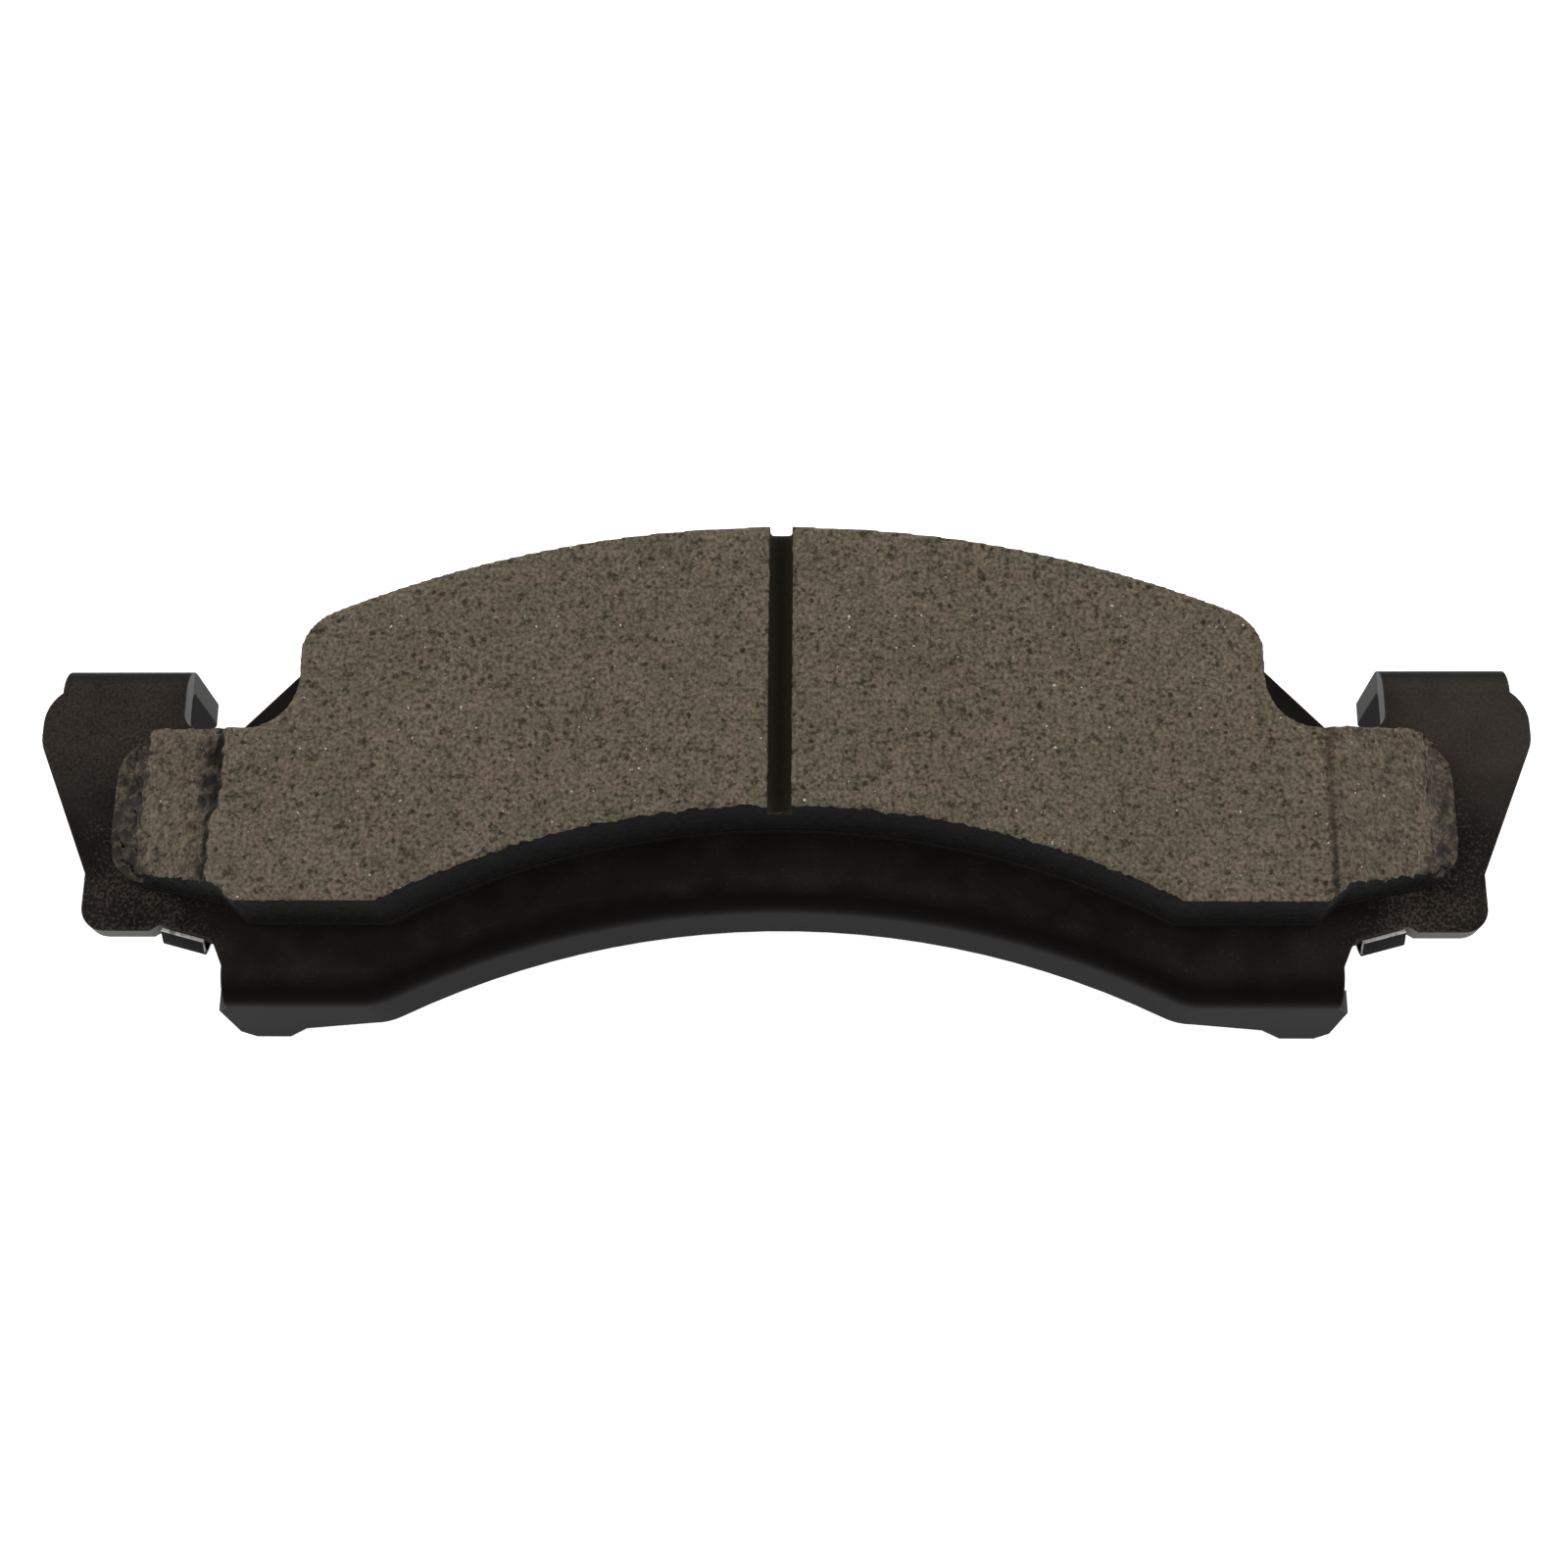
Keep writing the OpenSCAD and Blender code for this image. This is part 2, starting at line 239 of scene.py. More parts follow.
class LiningProperties(bpy.types.PropertyGroup):
    voxel: bpy.props.FloatProperty(
        name="Grain of the mesh", description="Distance between points of the moulded lining",
        default=0.52 * MM, min=0.3 * MM, max=2 * MM, unit="LENGTH", precision=5)
    crumble: bpy.props.FloatProperty(
        name="Crumbled edge", description="How far the moulded edge breaks back",
        default=0.6 * MM, min=0, max=2 * MM, unit="LENGTH", precision=5)
    ground: bpy.props.FloatVectorProperty(
        name="Ground face", description="Colour of the ground friction mix",
        default=srgb_default("#61574a"), subtype="COLOR", min=0, max=1)
    pit: bpy.props.FloatVectorProperty(
        name="Pits", description="Colour of the dark grains and pits in the mix",
        default=srgb_default("#211d15"), subtype="COLOR", min=0, max=1)
    skin: bpy.props.FloatVectorProperty(
        name="Painted skin", description="Colour of the painted side of the lining",
        default=srgb_default("#0a0908"), subtype="COLOR", min=0, max=1)


class PlateProperties(bpy.types.PropertyGroup):
    edge_round: bpy.props.FloatProperty(
        name="Edge rounding", description="Rounding of the sheared edges",
        default=0.35 * MM, min=0.05 * MM, max=1 * MM, unit="LENGTH", precision=5)
    paint: bpy.props.FloatVectorProperty(
        name="Paint", description="Colour of the satin black dip coat",
        default=srgb_default("#0d0b0a"), subtype="COLOR", min=0, max=1)
    # The dust colour also carries the painted sheen on the ears.
    dust: bpy.props.FloatVectorProperty(
        name="Dust", description="Colour of the grinding dust on the coat",
        default=srgb_default("#4c443d"), subtype="COLOR", min=0, max=1)


class ShimProperties(bpy.types.PropertyGroup):
    edge_round: bpy.props.FloatProperty(
        name="Edge rounding", description="Rounding of the cut edges of the shim",
        default=0.07 * MM, min=0.02 * MM, max=0.2 * MM, unit="LENGTH", precision=5)
    coat: bpy.props.FloatVectorProperty(
        name="Coat", description="Colour of the shim's dark coat",
        default=srgb_default("#0b0a0a"), subtype="COLOR", min=0, max=1)
    cut_edge: bpy.props.FloatVectorProperty(
        name="Cut edge", description="Colour of the bare cut steel",
        default=srgb_default("#d8d4cf"), subtype="COLOR", min=0, max=1)


class StudioProperties(bpy.types.PropertyGroup):
    floor: bpy.props.FloatVectorProperty(
        name="Floor", description="Colour of the plain floor",
        default=srgb_default("#f4f4f4"), subtype="COLOR", min=0, max=1)
    key_power: bpy.props.FloatProperty(
        name="Key light", description="Power of each side soft box",
        default=4.2, min=0, unit="POWER")
    fill: bpy.props.FloatProperty(
        name="Fill", description="Strength of the even light from the room", default=0.42, min=0)
    lens: bpy.props.FloatProperty(
        name="Lens", description="Focal length of the camera", default=54.0, min=10, unit="CAMERA")


# ------------------------------------------------------------------- materials

def ground_lining(settings):
    """Moulded semi-metallic lining, ground on its face: a dull grey-brown matrix with dark grains,
    open pits and a few steel chips that catch the light, and black dip coat left on its sides."""
    material, tree, shader = new_material("Moulded semi-metallic lining, ground")
    place = add(tree, "ShaderNodeTexCoord").outputs["Object"]
    facing = add(tree, "ShaderNodeNewGeometry").outputs["Normal"]
    normal = add(tree, "ShaderNodeSeparateXYZ", inputs={0: facing})
    spot = add(tree, "ShaderNodeSeparateXYZ", inputs={0: place})

    # Matrix: patches of 9 mm from mixing, clumps of 2.2 mm, grit of 0.55 mm.
    patch = add(tree, "ShaderNodeTexNoise", inputs={"Vector": place, "Scale": 1000 / 9, "Detail": 3.0})
    clump = add(tree, "ShaderNodeTexNoise", inputs={"Vector": place, "Scale": 1000 / 2.2, "Detail": 3.0})
    grit = add(tree, "ShaderNodeTexNoise", inputs={"Vector": place, "Scale": 1000 / 0.55, "Detail": 2.0})
    patch_tone = add(tree, "ShaderNodeMapRange",
                     inputs={0: patch.outputs[0], 1: 0.3, 2: 0.7, 3: 0.9, 4: 1.08})
    clump_tone = add(tree, "ShaderNodeMapRange",
                     inputs={0: clump.outputs[0], 1: 0.3, 2: 0.7, 3: 0.92, 4: 1.08})
    grit_tone = add(tree, "ShaderNodeMapRange",
                    inputs={0: grit.outputs[0], 1: 0.28, 2: 0.72, 3: 0.46, 4: 1.54})
    shade = add(tree, "ShaderNodeMath", {"operation": "MULTIPLY"},
                {0: patch_tone.outputs[0], 1: clump_tone.outputs[0]})
    shade = add(tree, "ShaderNodeMath", {"operation": "MULTIPLY"},
                {0: shade.outputs[0], 1: grit_tone.outputs[0]})
    hue = add(tree, "ShaderNodeTexNoise", inputs={"Vector": place, "Scale": 1000 / 4.5, "Detail": 2.0})
    tint = add(tree, "ShaderNodeValToRGB", inputs={0: hue.outputs[0]},
               stops=[(0.35, (0.95, 1.01, 0.96, 1)), (0.5, (1, 1, 1, 1)), (0.66, (1.03, 0.98, 0.99, 1))])
    matrix = add(tree, "ShaderNodeMix", {"data_type": "RGBA", "blend_type": "MULTIPLY"},
                 {0: 1.0, 6: (*settings.ground, 1), 7: tint.outputs[0]})
    matrix = add(tree, "ShaderNodeVectorMath", {"operation": "SCALE"},
                 {0: matrix.outputs[2], "Scale": shade.outputs[0]})

    # Dark grains: ragged clusters of 1.35 mm, then round pits up to 0.8 mm across.
    warp = add(tree, "ShaderNodeVectorMath", {"operation": "MULTIPLY_ADD"},
               {0: grit.outputs[1], 1: (0.0008,) * 3, 2: place})
    grain = add(tree, "ShaderNodeTexNoise", inputs={"Vector": place, "Scale": 1000 / 1.35, "Detail": 4.0,
                                                    "Roughness": 0.7})
    ragged_dark = add(tree, "ShaderNodeMapRange",
                      inputs={0: grain.outputs[0], 1: 0.46, 2: 0.36, 3: 0.0, 4: 0.72})
    cell = add(tree, "ShaderNodeTexVoronoi", inputs={"Vector": warp.outputs[0], "Scale": 1000 / 1.2})
    chance = add(tree, "ShaderNodeSeparateColor", inputs={0: cell.outputs["Color"]})
    width = add(tree, "ShaderNodeMapRange",
                inputs={0: chance.outputs[0], 1: 0.3, 2: 1.0, 3: 0.02, 4: 0.36})
    deep = add(tree, "ShaderNodeMath", {"operation": "SUBTRACT"},
               {0: width.outputs[0], 1: cell.outputs["Distance"]})
    pit = add(tree, "ShaderNodeMapRange",
              inputs={0: deep.outputs[0], 1: -0.06, 2: 0.14, 3: 0.0, 4: 0.85})
    pit = add(tree, "ShaderNodeMath", {"operation": "MAXIMUM"},
              {0: pit.outputs[0], 1: ragged_dark.outputs[0]})
    pitted = add(tree, "ShaderNodeMix", {"data_type": "RGBA"},
                 {0: pit.outputs[0], 6: matrix.outputs[0], 7: (*settings.pit, 1)})

    # Pale fibre ends of 0.5 mm, and steel chips up to 0.35 mm across in half of the 1.5 mm cells.
    fibre = add(tree, "ShaderNodeTexNoise",
                inputs={"Vector": warp.outputs[0], "Scale": 1000 / 0.5, "Detail": 2.0})
    fibre = add(tree, "ShaderNodeMapRange",
                inputs={0: fibre.outputs[0], 1: 0.62, 2: 0.76, 3: 0.0, 4: 0.5})
    pale = add(tree, "ShaderNodeMix", {"data_type": "RGBA"},
               {0: fibre.outputs[0], 6: pitted.outputs[2], 7: hex_linear("#968c7e")})
    chip_cell = add(tree, "ShaderNodeTexVoronoi",
                    inputs={"Vector": warp.outputs[0], "Scale": 1000 / 1.5})
    lucky = add(tree, "ShaderNodeSeparateColor", inputs={0: chip_cell.outputs["Color"]})
    chip_width = add(tree, "ShaderNodeMapRange",
                     inputs={0: lucky.outputs[1], 1: 0.42, 2: 1.0, 3: 0.0, 4: 0.12})
    chip_near = add(tree, "ShaderNodeMath", {"operation": "SUBTRACT"},
                    {0: chip_width.outputs[0], 1: chip_cell.outputs["Distance"]})
    chip = add(tree, "ShaderNodeMapRange",
               inputs={0: chip_near.outputs[0], 1: -0.01, 2: 0.02, 3: 0.0, 4: 0.9})
    face = add(tree, "ShaderNodeMix", {"data_type": "RGBA"},
               {0: chip.outputs[0], 6: pale.outputs[2], 7: hex_linear("#c9c4ba")})

    # Where the mould, not the grinder, left the surface it is darker, greyer and open.
    moulded = add(tree, "ShaderNodeAttribute", {"attribute_name": "moulded"})
    step = add(tree, "ShaderNodeAttribute", {"attribute_name": "step_shade"})
    rough = add(tree, "ShaderNodeTexNoise", inputs={"Vector": place, "Scale": 1000 / 1.7, "Detail": 4.0,
                                                    "Roughness": 0.65})
    uneven = add(tree, "ShaderNodeMapRange",
                 inputs={0: rough.outputs[0], 1: 0.36, 2: 0.6, 3: 0.5, 4: -0.6})
    skin_part = add(tree, "ShaderNodeMath", {"operation": "MULTIPLY_ADD", "use_clamp": True},
                    {0: uneven.outputs[0], 1: 1.0, 2: moulded.outputs["Fac"]})
    skin_part = add(tree, "ShaderNodeMath", {"operation": "MULTIPLY"},
                    {0: skin_part.outputs[0], 1: moulded.outputs["Fac"]})
    face = add(tree, "ShaderNodeMix", {"data_type": "RGBA"},
               {0: skin_part.outputs[0], 6: face.outputs[2], 7: hex_linear("#2d2a27")})
    # Painted shadow beside the left wing's step and painted shade in the right crease, read from the
    # step_shade attribute, with a torn edge.
    torn = add(tree, "ShaderNodeMapRange",
               inputs={0: rough.outputs[0], 1: 0.3, 2: 0.62, 3: 0.45, 4: -0.35})
    shadow = add(tree, "ShaderNodeMath", {"operation": "ADD", "use_clamp": True},
                 {0: torn.outputs[0], 1: step.outputs["Fac"]})
    shadow = add(tree, "ShaderNodeMath", {"operation": "MULTIPLY"},
                 {0: shadow.outputs[0], 1: step.outputs["Fac"]})
    face = add(tree, "ShaderNodeMix", {"data_type": "RGBA"},
               {0: shadow.outputs[0], 6: face.outputs[2], 7: hex_linear("#151410")})

    # The sides keep the black coat; the face and the sloped wings are bare.
    ragged = add(tree, "ShaderNodeTexNoise",
                 inputs={"Vector": place, "Scale": 1000 / 1.3, "Detail": 3.0})
    lean = add(tree, "ShaderNodeMath", {"operation": "MULTIPLY_ADD"},
               {0: ragged.outputs[0], 1: 0.5, 2: normal.outputs[2]})
    bare = add(tree, "ShaderNodeMapRange", inputs={0: lean.outputs[0], 1: 0.72, 2: 0.95})
    # Below the slot's edges the floor and walls are painted a flat dark olive: painted shade in the
    # narrow slot.
    across = add(tree, "ShaderNodeMath", {"operation": "ABSOLUTE"}, {0: spot.outputs[0]})
    in_slot = add(tree, "ShaderNodeMapRange", inputs={0: across.outputs[0], 1: 1.75 * MM, 2: 1.55 * MM})
    below = add(tree, "ShaderNodeMapRange", inputs={0: spot.outputs[2], 1: 15.8 * MM, 2: 15.2 * MM})
    over_floor = add(tree, "ShaderNodeMapRange", inputs={0: spot.outputs[2], 1: 12.5 * MM, 2: 12.8 * MM})
    slot_shade = add(tree, "ShaderNodeMath", {"operation": "MULTIPLY"},
                    {0: in_slot.outputs[0], 1: below.outputs[0]})
    slot_shade = add(tree, "ShaderNodeMath", {"operation": "MULTIPLY"},
                    {0: slot_shade.outputs[0], 1: over_floor.outputs[0]})
    skin_tone = add(tree, "ShaderNodeVectorMath", {"operation": "SCALE"},
                    {0: (*settings.skin,), "Scale": grit_tone.outputs[0]})
    coated = add(tree, "ShaderNodeMix", {"data_type": "RGBA"},
                 {0: bare.outputs[0], 6: skin_tone.outputs[0], 7: face.outputs[2]})
    colour = add(tree, "ShaderNodeMix", {"data_type": "RGBA"},
                 {0: slot_shade.outputs[0], 6: coated.outputs[2], 7: hex_linear("#2a281d")})

    height = add(tree, "ShaderNodeMath", {"operation": "SUBTRACT"},
                 {0: rough.outputs[0], 1: pit.outputs[0]})
    relief = add(tree, "ShaderNodeBump", inputs={"Strength": 0.6, "Distance": 0.12 * MM,
                                                 "Height": height.outputs[0]})
    gloss = add(tree, "ShaderNodeMapRange",
                inputs={0: chip.outputs[0], 1: 0.0, 2: 0.9, 3: 0.86, 4: 0.35})
    tree.links.new(colour.outputs[2], shader.inputs["Base Color"])
    tree.links.new(gloss.outputs[0], shader.inputs["Roughness"])
    tree.links.new(relief.outputs[0], shader.inputs["Normal"])
    shader.inputs["Specular IOR Level"].default_value = 0.15
    return material


def dip_coated_steel(settings):
    """Black dip coat on sheared sheet steel: satin, nearly black, brown where grinding dust lies on it,
    lighter on the ears towards the hook bends with a painted sheen, with grey rubbed edges and a slight
    orange peel."""
    material, tree, shader = new_material("Black dip-coated sheet steel")
    place = add(tree, "ShaderNodeTexCoord").outputs["Object"]
    spot = add(tree, "ShaderNodeSeparateXYZ", inputs={0: place})
    facing = add(tree, "ShaderNodeNewGeometry").outputs["Normal"]
    normal = add(tree, "ShaderNodeSeparateXYZ", inputs={0: facing})

    # Dust lies on what faces up: specks of 0.45 mm in drifts of 6 mm, thick beside the wings.
    up = add(tree, "ShaderNodeMapRange", inputs={0: normal.outputs[2], 1: 0.75, 2: 0.97})
    drift = add(tree, "ShaderNodeTexNoise", inputs={"Vector": place, "Scale": 1000 / 6, "Detail": 4.0})
    speck = add(tree, "ShaderNodeTexNoise",
                inputs={"Vector": place, "Scale": 1000 / 0.45, "Detail": 2.0})
    across = add(tree, "ShaderNodeMath", {"operation": "ABSOLUTE"}, {0: spot.outputs[0]})
    by_wing = add(tree, "ShaderNodeMapRange", inputs={0: across.outputs[0], 1: 104 * MM, 2: 92 * MM})
    on_ear = add(tree, "ShaderNodeMapRange", inputs={0: across.outputs[0], 1: 76 * MM, 2: 84 * MM})
    low = add(tree, "ShaderNodeMapRange", inputs={0: spot.outputs[1], 1: 9 * MM, 2: 5 * MM})
    near = add(tree, "ShaderNodeMath", {"operation": "MULTIPLY"},
               {0: by_wing.outputs[0], 1: low.outputs[0]})
    near = add(tree, "ShaderNodeMath", {"operation": "MULTIPLY"},
               {0: near.outputs[0], 1: on_ear.outputs[0]})
    amount = add(tree, "ShaderNodeMath", {"operation": "MULTIPLY_ADD"},
                 {0: near.outputs[0], 1: 0.15, 2: -0.02})
    pile = add(tree, "ShaderNodeMath", {"operation": "MULTIPLY_ADD"},
               {0: drift.outputs[0], 1: 0.5, 2: speck.outputs[0]})
    pile = add(tree, "ShaderNodeMath", {"operation": "ADD"}, {0: pile.outputs[0], 1: amount.outputs[0]})
    dusty = add(tree, "ShaderNodeMapRange",
                inputs={0: pile.outputs[0], 1: 0.80, 2: 1.04, 3: 0.0, 4: 0.8})
    thick = add(tree, "ShaderNodeMath", {"operation": "MULTIPLY_ADD"},
                {0: near.outputs[0], 1: 0.6, 2: 0.4})
    thick = add(tree, "ShaderNodeMath", {"operation": "MULTIPLY"},
                {0: thick.outputs[0], 1: up.outputs[0]})
    dusty = add(tree, "ShaderNodeMath", {"operation": "MULTIPLY"},
                {0: dusty.outputs[0], 1: thick.outputs[0]})
    film = add(tree, "ShaderNodeMapRange",
               inputs={0: drift.outputs[0], 1: 0.3, 2: 0.75, 3: 0.02, 4: 0.16})
    # Painted sheen mixed with dust: a lighter haze that rises towards the hook bends on the outer ears,
    # stronger on the right ear.
    dust_and_sheen_haze = add(tree, "ShaderNodeMapRange",
               inputs={0: spot.outputs[1], 1: -9 * MM, 2: 2 * MM, 3: 0.0, 4: 0.3})
    outer = add(tree, "ShaderNodeMapRange", inputs={0: across.outputs[0], 1: 78 * MM, 2: 90 * MM})
    right_ear_sheen = add(tree, "ShaderNodeMapRange",
                     inputs={0: spot.outputs[0], 1: 0.0, 2: 80 * MM, 3: 0.85, 4: 1.2})
    dust_and_sheen_haze = add(tree, "ShaderNodeMath", {"operation": "MULTIPLY"},
               {0: dust_and_sheen_haze.outputs[0], 1: outer.outputs[0]})
    dust_and_sheen_haze = add(tree, "ShaderNodeMath", {"operation": "MULTIPLY"},
               {0: dust_and_sheen_haze.outputs[0], 1: right_ear_sheen.outputs[0]})
    # The haze, dust with a painted sheen, is grainy on the left ear and nearly smooth on the right one.
    smooth = add(tree, "ShaderNodeMapRange",
                 inputs={0: spot.outputs[0], 1: -80 * MM, 2: 80 * MM, 3: 1.0, 4: 0.35})
    dapple = add(tree, "ShaderNodeMapRange",
                 inputs={0: speck.outputs[0], 1: 0.3, 2: 0.7, 3: -0.75, 4: 0.75})
    dapple = add(tree, "ShaderNodeMath", {"operation": "MULTIPLY"},
                 {0: dapple.outputs[0], 1: smooth.outputs[0]})
    dapple = add(tree, "ShaderNodeMath", {"operation": "ADD"}, {0: dapple.outputs[0], 1: 1.0})
    dust_and_sheen_haze = add(tree, "ShaderNodeMath", {"operation": "MULTIPLY"},
               {0: dust_and_sheen_haze.outputs[0], 1: dapple.outputs[0]})
    film = add(tree, "ShaderNodeMath", {"operation": "ADD"}, {0: film.outputs[0], 1: dust_and_sheen_haze.outputs[0]})
    film = add(tree, "ShaderNodeMath", {"operation": "MULTIPLY"}, {0: film.outputs[0], 1: up.outputs[0]})
    # The dust layer: dust specks, and a film of dust with the painted sheen in it.
    layer = add(tree, "ShaderNodeMath", {"operation": "MAXIMUM"},
                {0: dusty.outputs[0], 1: film.outputs[0]})

    # Rubbed edges: the rounded edge differs from the flat faces beside it.
    rounded = add(tree, "ShaderNodeBevel", {"samples": 4}, {"Radius": 0.5 * MM})
    same = add(tree, "ShaderNodeVectorMath", {"operation": "DOT_PRODUCT"},
               {0: rounded.outputs[0], 1: add(tree, "ShaderNodeNewGeometry").outputs["True Normal"]})
    rub = add(tree, "ShaderNodeMapRange",
              inputs={0: same.outputs["Value"], 1: 0.93, 2: 0.74, 3: 0.0, 4: 1.0})
    rub = add(tree, "ShaderNodeMath", {"operation": "MULTIPLY"},
              {0: rub.outputs[0], 1: drift.outputs[0]})

    # The press left a greyer, thinly coated edge round the ears and on the inner ends of the hooks;
    # round the ears this lighter edge is partly a painted highlight for the floor's reflection.
    flat = add(tree, "ShaderNodeMath", {"operation": "ABSOLUTE"}, {0: normal.outputs[2]})
    upright = add(tree, "ShaderNodeMapRange", inputs={0: flat.outputs[0], 1: 0.6, 2: 0.35})
    in_sheet = add(tree, "ShaderNodeMapRange", inputs={0: spot.outputs[2], 1: 0.6 * MM, 2: 1.0 * MM})
    past_flange = add(tree, "ShaderNodeMapRange", inputs={0: across.outputs[0], 1: 78 * MM, 2: 82 * MM})
    sheared = add(tree, "ShaderNodeMath", {"operation": "MULTIPLY"},
                  {0: upright.outputs[0], 1: in_sheet.outputs[0]})
    sheared = add(tree, "ShaderNodeMath", {"operation": "MULTIPLY"},
                  {0: sheared.outputs[0], 1: past_flange.outputs[0]})
    sideways = add(tree, "ShaderNodeMath", {"operation": "ABSOLUTE"}, {0: normal.outputs[0]})
    end_face = add(tree, "ShaderNodeMapRange", inputs={0: sideways.outputs[0], 1: 0.8, 2: 0.95})
    at_hook = add(tree, "ShaderNodeMapRange", inputs={0: spot.outputs[1], 1: 9.5 * MM, 2: 10.5 * MM})
    inner = add(tree, "ShaderNodeMapRange", inputs={0: across.outputs[0], 1: 88 * MM, 2: 87 * MM})
    end_face = add(tree, "ShaderNodeMath", {"operation": "MULTIPLY"},
                   {0: end_face.outputs[0], 1: at_hook.outputs[0]})
    end_face = add(tree, "ShaderNodeMath", {"operation": "MULTIPLY"},
                   {0: end_face.outputs[0], 1: inner.outputs[0]})
    end_face = add(tree, "ShaderNodeMath", {"operation": "MULTIPLY"}, {0: end_face.outputs[0], 1: 0.5})
    bare = add(tree, "ShaderNodeMath", {"operation": "MAXIMUM"},
               {0: sheared.outputs[0], 1: end_face.outputs[0]})
    rub = add(tree, "ShaderNodeMath", {"operation": "MAXIMUM"}, {0: rub.outputs[0], 1: bare.outputs[0]})

    base = add(tree, "ShaderNodeMix", {"data_type": "RGBA"},
               {0: rub.outputs[0], 6: (*settings.paint, 1), 7: hex_linear("#605f5e")})
    colour = add(tree, "ShaderNodeMix", {"data_type": "RGBA"},
                 {0: layer.outputs[0], 6: base.outputs[2], 7: (*settings.dust, 1)})
    peel = add(tree, "ShaderNodeTexNoise", inputs={"Vector": place, "Scale": 1000 / 1.6, "Detail": 2.0})
    height = add(tree, "ShaderNodeMath", {"operation": "MULTIPLY_ADD"},
                 {0: layer.outputs[0], 1: 1.2, 2: peel.outputs[0]})
    relief = add(tree, "ShaderNodeBump", inputs={"Strength": 0.35, "Distance": 0.06 * MM,
                                                 "Height": height.outputs[0]})
    gloss = add(tree, "ShaderNodeMapRange",
                inputs={0: layer.outputs[0], 1: 0.0, 2: 0.6, 3: 0.74, 4: 0.95})
    tree.links.new(colour.outputs[2], shader.inputs["Base Color"])
    tree.links.new(gloss.outputs[0], shader.inputs["Roughness"])
    tree.links.new(relief.outputs[0], shader.inputs["Normal"])

    # The coat stretched thin and dull over the fold of the flange.
    leaning = add(tree, "ShaderNodeMapRange", inputs={0: normal.outputs[1], 1: -0.12, 2: -0.45})
    rising = add(tree, "ShaderNodeMapRange", inputs={0: normal.outputs[2], 1: 0.14, 2: 0.45})
    fold = add(tree, "ShaderNodeMath", {"operation": "MULTIPLY"},
               {0: leaning.outputs[0], 1: rising.outputs[0]})
    shine = add(tree, "ShaderNodeMapRange",
                inputs={0: fold.outputs[0], 1: 0.0, 2: 1.0, 3: 0.09, 4: 0.03})
    tree.links.new(shine.outputs[0], shader.inputs["Specular IOR Level"])
    return material


def coated_shim_steel(settings):
    """Cold-rolled shim sheet with a thin dark coat: dull black faces, and bright bare metal where it
    was cut."""
    material, tree, shader = new_material("Coated shim sheet steel")
    place = add(tree, "ShaderNodeTexCoord").outputs["Object"]
    spot = add(tree, "ShaderNodeSeparateXYZ", inputs={0: place})
    true_normal = add(tree, "ShaderNodeNewGeometry").outputs["True Normal"]
    normal = add(tree, "ShaderNodeSeparateXYZ", inputs={0: true_normal})
    # A tab's broad faces look along Y; its cut edges look up or along X.
    broad = add(tree, "ShaderNodeMath", {"operation": "ABSOLUTE"}, {0: normal.outputs[1]})
    tab_edge = add(tree, "ShaderNodeMapRange", inputs={0: broad.outputs[0], 1: 0.75, 2: 0.6})
    high = add(tree, "ShaderNodeMapRange", inputs={0: spot.outputs[2], 1: 1.2 * MM, 2: 2.2 * MM})
    tab_edge = add(tree, "ShaderNodeMath", {"operation": "MULTIPLY"},
                   {0: tab_edge.outputs[0], 1: high.outputs[0]})
    flat = add(tree, "ShaderNodeMath", {"operation": "ABSOLUTE"}, {0: normal.outputs[2]})
    sheet_edge = add(tree, "ShaderNodeMapRange", inputs={0: flat.outputs[0], 1: 0.3, 2: 0.15})
    lying = add(tree, "ShaderNodeMapRange", inputs={0: spot.outputs[2], 1: 0.9 * MM, 2: 0.8 * MM})
    sheet_edge = add(tree, "ShaderNodeMath", {"operation": "MULTIPLY"},
                     {0: sheet_edge.outputs[0], 1: lying.outputs[0]})
    edge = add(tree, "ShaderNodeMath", {"operation": "MAXIMUM"},
               {0: tab_edge.outputs[0], 1: sheet_edge.outputs[0]})
    torn = add(tree, "ShaderNodeTexNoise", inputs={"Vector": place, "Scale": 1000 / 0.9, "Detail": 3.0})
    torn = add(tree, "ShaderNodeMapRange", inputs={0: torn.outputs[0], 1: 0.34, 2: 0.5, 3: 0.25, 4: 1.0})
    edge = add(tree, "ShaderNodeMath", {"operation": "MULTIPLY"},
               {0: edge.outputs[0], 1: torn.outputs[0]})
    smear = add(tree, "ShaderNodeTexNoise", inputs={"Vector": place, "Scale": 1000 / 3, "Detail": 3.0})
    coat = add(tree, "ShaderNodeMix", {"data_type": "RGBA"},
               {0: smear.outputs[0], 6: (*settings.coat, 1), 7: hex_linear("#171615")})
    colour = add(tree, "ShaderNodeMix", {"data_type": "RGBA"},
                 {0: edge.outputs[0], 6: coat.outputs[2], 7: (*settings.cut_edge, 1)})
    metal = add(tree, "ShaderNodeMath", {"operation": "MULTIPLY"}, {0: edge.outputs[0], 1: 0.4})
    gloss = add(tree, "ShaderNodeMapRange", inputs={0: edge.outputs[0], 1: 0.0, 2: 1.0, 3: 0.72, 4: 0.4})
    relief = add(tree, "ShaderNodeBump", inputs={"Strength": 0.3, "Distance": 0.04 * MM,
                                                 "Height": smear.outputs[0]})
    tree.links.new(colour.outputs[2], shader.inputs["Base Color"])
    tree.links.new(metal.outputs[0], shader.inputs["Metallic"])
    shader.inputs["Specular IOR Level"].default_value = 0.1
    tree.links.new(gloss.outputs[0], shader.inputs["Roughness"])
    tree.links.new(relief.outputs[0], shader.inputs["Normal"])
    return material


